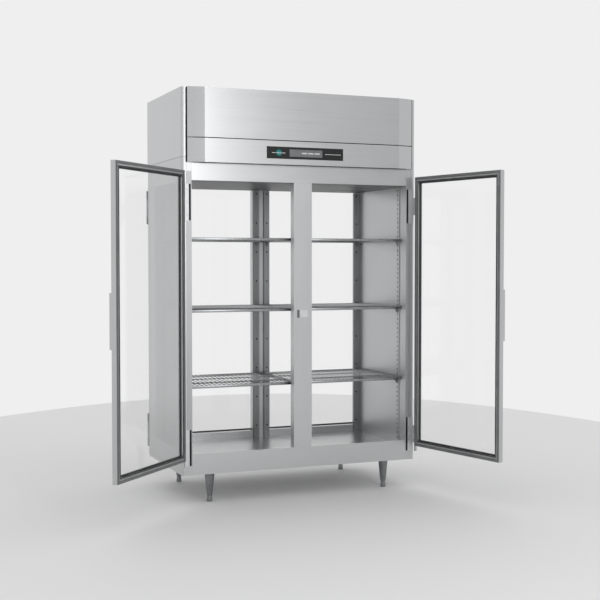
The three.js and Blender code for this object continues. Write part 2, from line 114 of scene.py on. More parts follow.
# %% [markdown]
# ## Tools for finishes
# Every finish is a node tree under one Principled shader. One function adds a node with its settings
# and its links, and another turns the hex colours of a paint chart into the linear values Blender uses.
# Two more hold what most finishes share: a ramp between two tones, and the last three links.

# %% Make the finish tools
def linear(code):
    """A hex colour as linear red, green, blue and alpha."""
    channels = [int(code[i:i + 2], 16) / 255 for i in (1, 3, 5)]
    return [c / 12.92 if c <= 0.04045 else ((c + 0.055) / 1.055) ** 2.4 for c in channels] + [1]


def add(tree, kind, settings=(), links=()):
    """Adds a node: settings go to its properties or sockets, links come from other nodes' outputs."""
    node = tree.nodes.new(kind)
    for name, value in dict(settings).items():
        if hasattr(node, name):
            setattr(node, name, value)
        else:
            node.inputs[name].default_value = value
    for name, source in dict(links).items():
        tree.links.new(source, node.inputs[name])
    return node


def finish(name, **sockets):
    """Starts a finish: a new material, its tree and its Principled shader with these sockets."""
    material = bpy.data.materials.new(name)
    material.use_nodes = True
    tree = material.node_tree
    shader = tree.nodes["Principled BSDF"]
    for socket, value in sockets.items():
        shader.inputs[socket.replace("_", " ")].default_value = value
    return material, tree, shader


def two_tone(tree, source, dark, light, start, end):
    """A colour that goes from dark to light as this output goes from start to end."""
    ramp = add(tree, "ShaderNodeValToRGB", {}, {"Fac": source})
    for element, position, code in zip(ramp.color_ramp.elements, (start, end), (dark, light)):
        element.position = position
        element.color = linear(code)
    return ramp.outputs[0]


def connect(tree, shader, colour, sheen, relief):
    """Links the colour, the sheen and the relief of a finish to its shader."""
    tree.links.new(colour, shader.inputs["Base Color"])
    tree.links.new(sheen.outputs[0], shader.inputs["Roughness"])
    tree.links.new(relief.outputs[0], shader.inputs["Normal"])


# %% [markdown]
# ## Brushed stainless steel
# The sheets are grade 304 stainless with a satin grain: a belt leaves scratches some tenths of a
# millimetre wide and a hand's breadth long, all one way. They smear reflections across the grain, so
# a panel shades in broad soft bands. A noise texture squeezed across the grain and stretched along it
# gives the scratches. Real ones are too fine to show from across a room, so they are drawn 3 mm wide.
# A second, slow noise stands for the hand marks and faint unevenness that all sheet steel has.

# %% Brushed steel finishes
SCRATCH_WIDTH = 0.003
SCRATCH_LENGTH = 0.35
SCRATCH_RELIEF = 0.03


def brushed(name, dark, light, grain, rough):
    """Brushed metal whose grain runs along "X", "Y" or "Z"."""
    material, tree, shader = finish(name, Metallic=1.0, Roughness=rough)
    place = add(tree, "ShaderNodeTexCoord").outputs["Object"]
    squeeze = [1 / SCRATCH_LENGTH if axis == grain else 1 / SCRATCH_WIDTH for axis in "XYZ"]
    turned = add(tree, "ShaderNodeMapping", {"Scale": squeeze}, {"Vector": place})
    scratches = add(tree, "ShaderNodeTexNoise", {"Scale": 1.0, "Detail": 3.0, "Roughness": 0.6},
                    {"Vector": turned.outputs[0]})
    marks = add(tree, "ShaderNodeTexNoise", {"Scale": 5.0, "Detail": 4.0}, {"Vector": place})
    colour = two_tone(tree, scratches.outputs[0], dark, light, 0.25, 0.75)
    both = add(tree, "ShaderNodeMix", {"Factor": 0.4},
               {"A": scratches.outputs[0], "B": marks.outputs[0]})
    sheen = add(tree, "ShaderNodeMapRange",
                {"From Min": 0.3, "From Max": 0.7, "To Min": rough - 0.03, "To Max": rough + 0.04},
                {"Value": both.outputs[0]})
    relief = add(tree, "ShaderNodeBump", {"Strength": SCRATCH_RELIEF, "Distance": 0.0004},
                 {"Height": scratches.outputs[0]})
    connect(tree, shader, colour, sheen, relief)
    return material


steel_across = brushed("stainless_grain_across", "#C1C2C3", "#C7C8C9", "X", 0.3)
steel_upright = brushed("stainless_grain_upright", "#BFC0C1", "#C5C6C7", "Z", 0.33)
steel_deep = brushed("stainless_grain_front_to_back", "#BDBEBF", "#C5C6C7", "Y", 0.3)
# Painted shade: this darker grey stands for the shade on the shelf channels inside the cabinet; the
# glass spacers take it as their own colour.
channel_shade_and_spacer_steel = brushed("shaded_channel_and_spacer_steel", "#8E9092", "#989A9B", "Z", 0.36)
# Painted shade: a duller, darker steel for the jamb strips, standing for the dark reflection of the
# doors on the jambs.
jamb_shade_steel = brushed("dull_hinge_side_trim", "#A6A8A9", "#ADAFB0", "Z", 0.4)
mill_fins = brushed("mill_aluminium_fins", "#B4B6B8", "#C6C8CA", "Z", 0.42)
print("brushed finishes made, scratch width", SCRATCH_WIDTH / MM, "mm")

# %% [markdown]
# ## Turned and plated metal
# Legs, feet, hinges and lock parts are turned, cast or plated: their polish is even in all directions,
# with a fine orange-peel ripple instead of a grain. Zinc plate on the shelf wires is a little darker
# and blotchier than steel, because the crystals of the bath take the light unevenly.

# %% Plated metal finishes
def plated(name, dark, light, rough, spot):
    """Plated or turned metal with blotches about spot metres wide."""
    material, tree, shader = finish(name, Metallic=1.0, Roughness=rough)
    place = add(tree, "ShaderNodeTexCoord").outputs["Object"]
    blotch = add(tree, "ShaderNodeTexNoise", {"Scale": 1 / spot, "Detail": 5.0}, {"Vector": place})
    colour = two_tone(tree, blotch.outputs[0], dark, light, 0.3, 0.7)
    sheen = add(tree, "ShaderNodeMapRange", {"To Min": rough - 0.06, "To Max": rough + 0.06},
                {"Value": blotch.outputs[0]})
    relief = add(tree, "ShaderNodeBump", {"Strength": 0.05, "Distance": 0.0002},
                 {"Height": blotch.outputs[0]})
    connect(tree, shader, colour, sheen, relief)
    return material


zinc_wire = plated("bright_zinc_wire", "#8E9092", "#A7A9AB", 0.3, 0.012)
satin_nickel = plated("satin_nickel_hinge", "#CACBCC", "#D2D3D4", 0.45, 0.02)
turned_steel = plated("turned_stainless_leg", "#7E8082", "#8E9092", 0.3, 0.03)
polished_chrome = plated("polished_chrome_lock", "#CFD0D1", "#DCDDDE", 0.12, 0.01)
copper = plated("copper_refrigerant_pipe", "#B4714E", "#C98A64", 0.25, 0.02)

# %% [markdown]
# ## Rubber, plastic and enamel
# The gasket is extruded PVC, matte and slightly dusty. The display housing is moulded ABS with a
# gloss face. The compressor is dipped in black enamel that keeps the shimmer of its orange peel.
# All three are dielectrics, so they share one recipe: a colour with a cloudy second tone, and grit
# that roughens the surface.

# %% Rubber, plastic and enamel finishes
def coated(name, dark, light, rough, grit, depth, **sockets):
    """A non-metal finish with a cloudy colour and grit of that real size in metres."""
    material, tree, shader = finish(name, Roughness=rough, **sockets)
    place = add(tree, "ShaderNodeTexCoord").outputs["Object"]
    cloud = add(tree, "ShaderNodeTexNoise", {"Scale": 14.0, "Detail": 4.0}, {"Vector": place})
    grain = add(tree, "ShaderNodeTexNoise", {"Scale": 1 / grit, "Detail": 2.0}, {"Vector": place})
    colour = two_tone(tree, cloud.outputs[0], dark, light, 0.35, 0.7)
    sheen = add(tree, "ShaderNodeMapRange", {"To Min": rough - 0.06, "To Max": rough + 0.06},
                {"Value": grain.outputs[0]})
    relief = add(tree, "ShaderNodeBump", {"Strength": depth, "Distance": 0.0003},
                 {"Height": grain.outputs[0]})
    connect(tree, shader, colour, sheen, relief)
    return material


gasket_rubber = coated("grey_pvc_gasket", "#707172", "#7C7D7E", 0.55, 0.0015, 0.2)
glazing_rubber = coated("dark_glazing_bead", "#3A3B3C", "#474849", 0.5, 0.0015, 0.15)
# Painted shade: this near-black stands for the shade in slots, seams and recesses, and for screw heads
# in shade.
painted_shade_black = coated("black_painted_shade", "#060707", "#0C0D0E", 0.6, 0.001, 0.1, Specular_IOR_Level=0.2)
display_gloss = coated("gloss_black_abs", "#101112", "#17181A", 0.22, 0.002, 0.03)
screen_lens = coated("grey_display_lens", "#6E7172", "#7B7E80", 0.2, 0.002, 0.02)
mark_white = coated("printed_white_mark", "#C9CCCC", "#D6D8D8", 0.5, 0.001, 0.05)
key_teal = coated("teal_key", "#1E6F6E", "#2A8583", 0.4, 0.001, 0.05)
black_enamel = coated("black_enamel", "#141516", "#202224", 0.35, 0.004, 0.25)
# Painted shade: this dark grey stands for the shade under the ceiling and the headers; the strike catch
# takes it as its own colour.
ceiling_shade_and_catch_grey = coated("grey_ceiling_shade_and_catch_enamel", "#66686A", "#6E7072", 0.45, 0.003, 0.1)
fan_nylon = coated("black_nylon_fan", "#1A1B1C", "#252627", 0.5, 0.001, 0.15)

# %% [markdown]
# ## Glass
# Each door holds two panes of clear float glass. Display glass has a coating that keeps reflections
# faint, so the goods show, and a low refractive index gives the same faint reflections here.
# Handling leaves a very slight unevenness in its polish.

# %% Glass finish
pane_glass, glass_tree, glass_shader = finish(
    "clear_float_glass", Transmission_Weight=1.0, IOR=1.16)
glass_shader.inputs["Base Color"].default_value = linear("#FFFFFF")
glass_place = add(glass_tree, "ShaderNodeTexCoord").outputs["Object"]
smear = add(glass_tree, "ShaderNodeTexNoise", {"Scale": 6.0, "Detail": 3.0}, {"Vector": glass_place})
polish = add(glass_tree, "ShaderNodeMapRange",
             {"From Min": 0.45, "From Max": 0.8, "To Min": 0.0, "To Max": 0.004},
             {"Value": smear.outputs[0]})
glass_tree.links.new(polish.outputs[0], glass_shader.inputs["Roughness"])

# %% [markdown]
# ## Dress the CAD nodes
# A CAD piece whose shape is right only needs its finish. The grain follows the way each sheet was
# rolled and folded: across the hood and the cabinet's face, up and down on walls, doors and mullions.

# %% Give the CAD nodes their finishes
SLOT_FINISH = {
    "cabinet_steel": steel_upright, "face_frame_steel": steel_across, "liner_metal": steel_deep,
    "door_frame_metal": steel_upright, "door_glass": pane_glass, "door_gasket": gasket_rubber,
    "handle_metal": steel_upright, "lock_metal": polished_chrome, "hinge_metal": satin_nickel,
    "shelf_wire": zinc_wire, "leg_metal": turned_steel, "foot_metal": turned_steel,
    "display_plastic": display_gloss, "compressor_enamel": black_enamel, "coil_fins": mill_fins,
    "fan_plastic": fan_nylon, "control_box_enamel": black_enamel,
}
ACROSS = ("hood_panel", "control_panel", "machine_housing")
for part in frame["record"]["subparts"]:
    node = frame["nodes"][part["node"]]
    chosen = SLOT_FINISH[part["material_slot"]]
    if part["node"] in ACROSS:
        chosen = steel_across
    if part["node"].endswith("mullion"):
        chosen = steel_upright
    node.data.materials.clear()
    node.data.materials.append(chosen)
print(len(frame["nodes"]), "CAD nodes dressed")

# %% [markdown]
# ## Tools for modelling
# The small parts are modelled the way it is done by hand: add a primitive, go into edit mode, pick
# faces or edges, then extrude, inset or bevel. One helper picks faces or edges by their place, others
# make bars, rods, sunk faces and copies, and the last one finishes a piece: it applies its transform
# and tells the frame which body it rides on.

# %% Make the modelling tools
def rest():
    """Back to object mode with nothing selected."""
    if bpy.context.object and bpy.context.object.mode != "OBJECT":
        bpy.ops.object.mode_set(mode="OBJECT")
    bpy.ops.object.select_all(action="DESELECT")


def only(piece):
    """Selects this piece alone."""
    rest()
    piece.select_set(True)
    bpy.context.view_layer.objects.active = piece


def pick(piece, kind, test):
    """In edit mode, selects the faces or edges whose middle passes the test."""
    bpy.ops.object.mode_set(mode="OBJECT")
    mesh = piece.data
    for part in (mesh.vertices, mesh.edges, mesh.polygons):
        part.foreach_set("select", [False] * len(part))
    for part in (mesh.polygons if kind == "FACE" else mesh.edges):
        corners = [mesh.vertices[i].co for i in part.vertices]
        if test(sum(corners, Vector()) / len(corners)):
            part.select = True
            for i in part.vertices:
                mesh.vertices[i].select = True
    bpy.context.tool_settings.mesh_select_mode = (False, kind == "EDGE", kind == "FACE")
    bpy.ops.object.mode_set(mode="EDIT")


def bar(low, high, ease=0.0008):
    """A cube grown to these corners, with its edges eased."""
    rest()
    low, high = Vector(low), Vector(high)
    bpy.ops.mesh.primitive_cube_add(size=1, location=(low + high) / 2)
    piece = bpy.context.object
    piece.scale = high - low
    bpy.ops.object.transform_apply(location=False, rotation=False, scale=True)
    bpy.ops.object.mode_set(mode="EDIT")
    bpy.ops.mesh.select_all(action="SELECT")
    bpy.ops.mesh.bevel(offset=ease, segments=2, affect="EDGES")
    bpy.ops.object.mode_set(mode="OBJECT")
    bpy.ops.object.transform_apply(location=True, rotation=False, scale=False)
    return piece


def rod(start, along, length, radius, sides=10):
    """A cylinder from a point along "X", "Y" or "Z", with both ends rounded over."""
    rest()
    turn = {"X": (0, math.pi / 2, 0), "Y": (-math.pi / 2, 0, 0), "Z": (0, 0, 0)}[along]
    middle = Vector(start) + Vector([length / 2 if axis == along else 0 for axis in "XYZ"])
    bpy.ops.mesh.primitive_cylinder_add(
        vertices=sides, radius=radius, depth=length, location=middle, rotation=turn)
    piece = bpy.context.object
    bpy.ops.object.transform_apply(location=True, rotation=True, scale=False)
    axis = "XYZ".index(along)
    ends = (middle[axis] - length / 2, middle[axis] + length / 2)
    pick(piece, "FACE", lambda c: min(abs(c[axis] - end) for end in ends) < 1e-5)
    bpy.ops.mesh.bevel(offset=radius * 0.25, segments=1, affect="EDGES")
    bpy.ops.object.mode_set(mode="OBJECT")
    return piece


def dish(piece, test, rim, slope, depth):
    """Sinks the faces that pass the test by depth, inside a flat rim and a narrow slope."""
    pick(piece, "FACE", test)
    bpy.ops.mesh.inset(thickness=rim, depth=0)
    bpy.ops.mesh.inset(thickness=slope, depth=-depth)
    bpy.ops.object.mode_set(mode="OBJECT")


def repeat(piece, count, step):
    """Repeats a piece count times, each one step further on."""
    only(piece)
    array = piece.modifiers.new("repeat", "ARRAY")
    array.use_relative_offset = False
    array.use_constant_offset = True
    array.constant_offset_displace = step
    array.count = count
    bpy.ops.object.modifier_apply(modifier="repeat")
    return piece


def joined(*pieces):
    """Makes one piece of several."""
    only(pieces[0])
    for piece in pieces:
        piece.select_set(True)
    bpy.ops.object.join()
    return bpy.context.object


def copy_of(piece, matrix):
    """A copy with its own mesh, moved by a matrix. A mirrored copy has its faces turned back out."""
    twin = piece.copy()
    twin.data = piece.data.copy()
    bpy.context.collection.objects.link(twin)
    twin.data.transform(matrix)
    if matrix.determinant() < 0:
        only(twin)
        bpy.ops.object.mode_set(mode="EDIT")
        bpy.ops.mesh.select_all(action="SELECT")
        bpy.ops.mesh.flip_normals()
        bpy.ops.object.mode_set(mode="OBJECT")
    return twin


def place(piece, name, material, body, slot, *replaced, smooth=20):
    """Finishes a piece: its name, its finish, the body it rides on and the nodes it stands for.

    Edges that turn by fewer degrees than smooth are shaded round, so flat sheets stay flat."""
    only(piece)
    bpy.ops.object.transform_apply(location=True, rotation=True, scale=True)
    bpy.ops.object.shade_smooth_by_angle(angle=math.radians(smooth))
    piece.name = piece.data.name = name
    piece.data.materials.clear()
    piece.data.materials.append(material)
    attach(piece, body)
    if replaced:
        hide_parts(*replaced)


# %% [markdown]
# ## Wire shelves
# A shelf is welded from round wire: a rim bar, two bearers from side to side, and thin wires from
# front to back close enough to hold a can upright. The CAD solid has a few thick wires for the
# physics. Here one wire is made and repeated with an array, and the finished shelf is copied to all
# six places.

# %% Weld one shelf and copy it
WIRE_RADIUS = 2.2 * MM
BEARER_RADIUS = 3.5 * MM
WIRE_COUNT = 23
RIM = 7 * MM
RIM_EASE = 2 * MM
RIM_LAP = 1 * MM
WIRE_INSET = 2 * MM
BEARER_INSET = 3 * MM
WELD_DEPTH = 1 * MM


def shelf_at(node):
    """A wire shelf that fills the box of this CAD shelf."""
    low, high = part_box(node)
    span, deep = high.x - low.x, high.y - low.y
    gap = (span - 2 * RIM) / (WIRE_COUNT + 1)
    top = high.z - WIRE_RADIUS
    wires = rod((low.x + RIM + gap, low.y + WIRE_INSET, top), "Y", deep - 2 * WIRE_INSET, WIRE_RADIUS,
                sides=8)
    repeat(wires, WIRE_COUNT, (gap, 0, 0))
    bearer_z = top - WIRE_RADIUS - BEARER_RADIUS + WELD_DEPTH
    third = deep / 3
    bearers = rod((low.x + BEARER_INSET, low.y + third, bearer_z), "X", span - 2 * BEARER_INSET,
                  BEARER_RADIUS)
    repeat(bearers, 2, (0, third, 0))
    rims = [
        bar((low.x, low.y, low.z), (high.x, low.y + RIM, high.z), RIM_EASE),
        bar((low.x, high.y - RIM, low.z), (high.x, high.y, high.z), RIM_EASE),
        bar((low.x, low.y + RIM_LAP, low.z), (low.x + RIM, high.y - RIM_LAP, high.z), RIM_EASE),
        bar((high.x - RIM, low.y + RIM_LAP, low.z), (high.x, high.y - RIM_LAP, high.z), RIM_EASE),
    ]
    return joined(wires, bearers, *rims)


shelf_nodes = [name for name in frame["nodes"] if name.endswith("_shelf")]
first = shelf_nodes[0]
pattern = shelf_at(first)
for name in shelf_nodes:
    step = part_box(name)[0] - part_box(first)[0]
    place(copy_of(pattern, Matrix.Translation(step)), "wire_" + name, zinc_wire,
          "cabinet", "shelf_wire", name, smooth=50)
bpy.data.objects.remove(pattern)
print(len(shelf_nodes), "shelves, wires", WIRE_COUNT)

# %% [markdown]
# ## Shelf uprights
# The shelves hang on clips in slotted channels, one channel in each corner of each section. A slot
# comes every inch. One inch of channel is modelled from a grid of nine faces: the middle face is
# resized and deleted to make the slot, and the side edges are extruded back as flanges. An array
# stacks the inches, and a Solidify modifier gives the sheet its thickness. A strip behind the slots
# stands for the channel's back; where it is black it is painted shade for the dark depth behind the
# slots.

# %% Fold a slotted channel
INCH = 25.4 * MM
CHANNEL_WIDTH = 33 * MM
CHANNEL_DEPTH = 12 * MM
SLOT_WIDTH = 9 * MM
SLOT_HEIGHT = 11 * MM
SHEET = 1.2 * MM
rest()
bpy.ops.mesh.primitive_grid_add(x_subdivisions=3, y_subdivisions=3, size=1)
channel = bpy.context.object
channel.scale = (CHANNEL_WIDTH, INCH, 1)
bpy.ops.object.transform_apply(location=False, rotation=False, scale=True)
pick(channel, "FACE", lambda c: c.length < 1 * MM)
bpy.ops.transform.resize(value=(SLOT_WIDTH / (CHANNEL_WIDTH / 3), SLOT_HEIGHT / (INCH / 3), 1))
bpy.ops.mesh.delete(type="FACE")
pick(channel, "EDGE", lambda c: abs(abs(c.x) - CHANNEL_WIDTH / 2) < 0.1 * MM)
bpy.ops.mesh.extrude_edges_move(TRANSFORM_OT_translate={"value": (0, 0, -CHANNEL_DEPTH + SHEET)})
bpy.ops.object.mode_set(mode="OBJECT")
channel.rotation_euler = (math.pi / 2, 0, 0)
bpy.ops.object.transform_apply(location=False, rotation=True, scale=False)
inches = int((CEILING_Z - FLOOR_Z) / INCH)
repeat(channel, inches, (0, 0, INCH))
bpy.ops.object.mode_set(mode="EDIT")
bpy.ops.mesh.select_all(action="SELECT")
bpy.ops.mesh.remove_doubles(threshold=0.0001)
bpy.ops.mesh.normals_make_consistent(inside=False)
bpy.ops.object.mode_set(mode="OBJECT")
wall = channel.modifiers.new("sheet", "SOLIDIFY")
wall.thickness = SHEET
bpy.ops.object.modifier_apply(modifier="sheet")
channel_low = min(v.co.z for v in channel.data.vertices)
channel_high = max(v.co.z for v in channel.data.vertices)
backing = bar((-CHANNEL_WIDTH / 2 + 2 * SHEET, 1.5 * SHEET, channel_low),
              (CHANNEL_WIDTH / 2 - 2 * SHEET, 2.5 * SHEET, channel_high), ease=0.2 * MM)
print("channel of", inches, "inches,", len(channel.data.polygons), "faces")

# %% [markdown]
# ## Screws
# Each channel is held by a row of pan head screws. One head is modelled: a short cylinder whose top
# is bevelled round, with a cross recess made from two thin bars cut in by a Boolean modifier.

# %% Turn one screw head
SCREW_RADIUS = 4.2 * MM
SCREW_TALL = 2.2 * MM
SCREW_DOME = 1.2 * MM
CROSS = 1.0 * MM
CROSS_ARM = 0.6 * SCREW_RADIUS
rest()
bpy.ops.mesh.primitive_cylinder_add(vertices=16, radius=SCREW_RADIUS, depth=SCREW_TALL)
screw = bpy.context.object
pick(screw, "FACE", lambda c: c.z > SCREW_TALL / 2 - 0.1 * MM)
bpy.ops.mesh.bevel(offset=SCREW_DOME, segments=3, affect="EDGES")
bpy.ops.object.mode_set(mode="OBJECT")
cross = joined(bar((-CROSS_ARM, -CROSS / 2, 0), (CROSS_ARM, CROSS / 2, SCREW_TALL), ease=0.1 * MM),
               bar((-CROSS / 2, -CROSS_ARM, 0), (CROSS / 2, CROSS_ARM, SCREW_TALL), ease=0.1 * MM))
only(screw)
recess = screw.modifiers.new("recess", "BOOLEAN")
recess.object = cross
recess.use_self = True
bpy.ops.object.modifier_apply(modifier="recess")
bpy.data.objects.remove(cross)
screw.rotation_euler = (math.pi / 2, 0, 0)
bpy.ops.object.transform_apply(location=False, rotation=True, scale=False)
print("screw head,", len(screw.data.polygons), "faces")

# %% [markdown]
# ## Set the uprights
# Eight channels stand in the cabinet: two on the back of the front mullion, two on the front of the
# rear mullion, one on each wall near the front, and one in each rear corner. All are copies of one
# channel, turned to face the goods. The two on the walls are let into the sheet, so only their face
# and the slots show, and a black strip behind their slots is painted shade for the dark depth of the
# slots. The other six are painted shade as well: a darker grey steel with black screw heads, for the
# shade inside the cabinet.

# %% Stand the channels in the cabinet
SCREW_FIRST = 140 * MM
SCREW_STEP = 167 * MM
SCREW_COUNT = 9
MULLION_OFFSET = 31.5 * MM
WALL_UPRIGHT_BACK = 113 * MM
FLUSH = 4 * MM
mullion_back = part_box("front_mullion")[1].y
mullion_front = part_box("rear_mullion")[0].y
side_y = FRONT_Y + WALL_UPRIGHT_BACK
corner_y = mullion_front - CHANNEL_DEPTH
corner_x = LINER_X - CHANNEL_WIDTH / 2
spots = []
for side, word in ((-1, "left"), (1, "right")):
    spots += [
        (f"{word}_front_wall_upright", side * (LINER_X - FLUSH), side_y, -90 * side),
        (f"{word}_rear_corner_upright", side * corner_x, corner_y, 0),
        (f"{word}_front_mullion_upright", side * MULLION_OFFSET, mullion_back + CHANNEL_DEPTH, 180),
        (f"{word}_rear_mullion_upright", side * MULLION_OFFSET, mullion_front - CHANNEL_DEPTH, 0),
    ]
uprights = {}
for name, x, y, turn in spots:
    stand = Matrix.Translation((MIDDLE_X + x, y, 0)) @ Matrix.Rotation(math.radians(turn), 4, "Z")
    uprights[name] = stand
    raised = stand @ Matrix.Translation((0, 0, FLOOR_Z - channel_low))
    flush = "front_wall" in name
    # Painted shade: channels away from the walls take a darker grey, and the wall channels a black
    # strip behind their slots.
    place(copy_of(channel, raised), name, steel_upright if flush else channel_shade_and_spacer_steel,
          "cabinet", "shelf_wire")
    place(copy_of(backing, raised), name + "_back", painted_shade_black if flush else channel_shade_and_spacer_steel,
          "cabinet", "display_plastic" if flush else "shelf_wire")
    heads = []
    for i in range(SCREW_COUNT):
        lift = BASE_Z + SCREW_FIRST + i * SCREW_STEP
        heads.append(copy_of(screw, stand @ Matrix.Translation((0, -SCREW_TALL / 2, lift))))
    # Painted shade: the screw heads on the channels away from the walls are drawn black.
    place(joined(*heads), name + "_screws", zinc_wire if flush else painted_shade_black,
          "cabinet", "shelf_wire" if flush else "display_plastic")
bpy.data.objects.remove(channel)
bpy.data.objects.remove(backing)
print(len(spots), "uprights with", SCREW_COUNT, "screws each")

# %% [markdown]
# ## Shelf clips
# Under every shelf corner a folded clip hooks into its channel. It is a small wedge: a block whose
# lower face is drawn in, so it carries most at the channel.

# %% Hang the shelf clips
CLIP_WIDTH = 14 * MM
CLIP_REACH = 16 * MM
CLIP_TALL = 22 * MM
CLIP_TAPER = (0.55, 0.3, 1)
CLIP_LEAN = 0.35
clip = bar((-CLIP_WIDTH / 2, -CLIP_REACH, -CLIP_TALL), (CLIP_WIDTH / 2, 0, 0), ease=1 * MM)
pick(clip, "FACE", lambda c: c.z < -CLIP_TALL + 2 * MM)
bpy.ops.transform.resize(value=CLIP_TAPER)
bpy.ops.transform.translate(value=(0, CLIP_REACH * CLIP_LEAN, 0))
bpy.ops.object.mode_set(mode="OBJECT")
for level in ("lower", "middle", "upper"):
    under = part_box(f"left_{level}_shelf")[0].z
    clips = [copy_of(clip, stand @ Matrix.Translation((0, 0, under))) for stand in uprights.values()]
    place(joined(*clips), f"{level}_shelf_clips", zinc_wire, "cabinet", "shelf_wire")
bpy.data.objects.remove(clip)

# %% [markdown]
# ## Ceiling duct, painted shade
# Cold air comes down through a grey duct panel under the ceiling; its dark grey is painted shade,
# standing for the shade on the ceiling.
# Narrow trims carry it on below the front and rear headers, painted shade for their shaded undersides.
# The panel is a sheet with two banks of slits cut in by a Boolean modifier:
# one bank under the fan, one where the warm air is drawn up.

# %% Hang the duct panel
DUCT_THICK = 4 * MM
DUCT_EDGE = 42 * MM
SLIT_WIDTH = 8 * MM
SLIT_LENGTH = 40 * MM
SLIT_COUNT = 11
RETURN_AHEAD = 240 * MM
DUCT_EASE = 0.6 * MM
WALL_GAP = 3 * MM
CEILING_GAP = 0.3 * MM
TRIM_GAP = 1 * MM
duct_low, duct_high = CEILING_Z - DUCT_THICK, CEILING_Z - CEILING_GAP
duct = bar((MIDDLE_X - LINER_X + WALL_GAP, FRONT_Y + DUCT_EDGE, duct_low),
           (MIDDLE_X + LINER_X - WALL_GAP, BACK_Y - DUCT_EDGE, duct_high), DUCT_EASE)
fan_low, fan_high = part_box("evaporator_fan")
fan_x, fan_y = (fan_low.x + fan_high.x) / 2, (fan_low.y + fan_high.y) / 2
slits = []
for y in (fan_y, fan_y - RETURN_AHEAD):
    first_x = fan_x - SLIT_COUNT * SLIT_WIDTH
    slit = bar((first_x, y - SLIT_LENGTH / 2, duct_low - DUCT_THICK),
               (first_x + SLIT_WIDTH, y + SLIT_LENGTH / 2, duct_high + DUCT_THICK), ease=0.5 * MM)
    slits.append(repeat(slit, SLIT_COUNT, (2 * SLIT_WIDTH, 0, 0)))
cutter = joined(*slits)
only(duct)
grille = duct.modifiers.new("grille", "BOOLEAN")
grille.object = cutter
bpy.ops.object.modifier_apply(modifier="grille")
bpy.data.objects.remove(cutter)
header_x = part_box("front_header")[1].x - MIDDLE_X - TRIM_GAP
mullion_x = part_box("front_mullion")[1].x - MIDDLE_X + TRIM_GAP
trims = []
for side in (-1, 1):
    xs = sorted((MIDDLE_X + side * mullion_x, MIDDLE_X + side * header_x))
    for y in (FRONT_Y + 2 * TRIM_GAP, BACK_Y - DUCT_EDGE + TRIM_GAP):
        trims.append(bar((xs[0], y, duct_low + TRIM_GAP),
                         (xs[1], y + DUCT_EDGE - 3 * TRIM_GAP, duct_high), DUCT_EASE))
# Painted shade: the duct and its trims are dark grey where the ceiling and the headers' undersides are
# in shade.
place(joined(duct, *trims), "ceiling_shade_duct", ceiling_shade_and_catch_grey, "cabinet", "control_box_enamel")
print("duct panel with", 2 * SLIT_COUNT, "slits")

# %% [markdown]
# ## Door glazing and gaskets
# Around the inner face of each door runs a soft magnetic gasket, and inside it a dark rubber bead
# holds the glass and laps over the frame. All are rings with a shaped section, so each starts as one
# flat face the size of its outside. An inset gives the width of the ring, the middle is deleted, and
# further insets with depth raise the lips. They are made on the rear right door, which stands shut,
# and then copied.

# %% Shape the rings on the rear right door
door_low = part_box("rear_right_door_frame")[0]
gasket_low, gasket_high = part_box("rear_right_door_gasket")
glass_low, glass_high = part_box("rear_right_door_glass")


def ring(low, high, y, width, lips):
    """A ring facing the cabinet: a face between two corners, inset to width, then raised lip by lip."""
    rest()
    bpy.ops.mesh.primitive_plane_add(
        size=1, location=((low.x + high.x) / 2, y, (low.z + high.z) / 2), rotation=(math.pi / 2, 0, 0))
    piece = bpy.context.object
    piece.scale = (high.x - low.x, high.z - low.z, 1)
    bpy.ops.object.transform_apply(location=True, rotation=True, scale=True)
    bpy.ops.object.mode_set(mode="EDIT")
    bpy.ops.mesh.select_all(action="SELECT")
    bpy.ops.mesh.inset(thickness=width)
    bpy.ops.mesh.delete(type="FACE")
    bpy.ops.mesh.select_all(action="SELECT")
    for edge, depth in lips:
        bpy.ops.mesh.inset(thickness=edge, depth=depth, use_boundary=True)
    bpy.ops.object.mode_set(mode="OBJECT")
    return piece


GASKET_RISE = gasket_high.y - gasket_low.y
gasket = ring(gasket_low, gasket_high, gasket_high.y, 13 * MM, [
    (0.05 * MM, GASKET_RISE * 0.45), (2.5 * MM, 0), (0.3 * MM, -1 * MM), (0.8 * MM, 0),
    (0.4 * MM, GASKET_RISE * 0.55)])
BEAD_WIDTH = 5 * MM
BEAD_RISE = 3.5 * MM
FLANGE_INSET = Vector((20, 0, 20)) * MM
FLANGE_WIDTH = 6.5 * MM
bead = ring(glass_low, glass_high, glass_low.y, BEAD_WIDTH, [
    (0.05 * MM, BEAD_RISE * 0.5), (1.5 * MM, BEAD_RISE * 0.5)])
flange = ring(gasket_low + FLANGE_INSET, gasket_high - FLANGE_INSET, door_low.y, FLANGE_WIDTH, [
    (0.4 * MM, 1.2 * MM), (0.8 * MM, 0.4 * MM)])
bead = joined(bead, flange)
print("ring faces", len(gasket.data.polygons), len(bead.data.polygons))

# %% [markdown]
# ## Sealed glass units
# The glass is not one slab but two panes with a spacer between them. Each pane is cut from sheet and
# its edges are seamed. The spacer is a slim metal frame between them, along the edge of the glass.
# Its row of desiccant holes is too fine to show, so it stays plain.

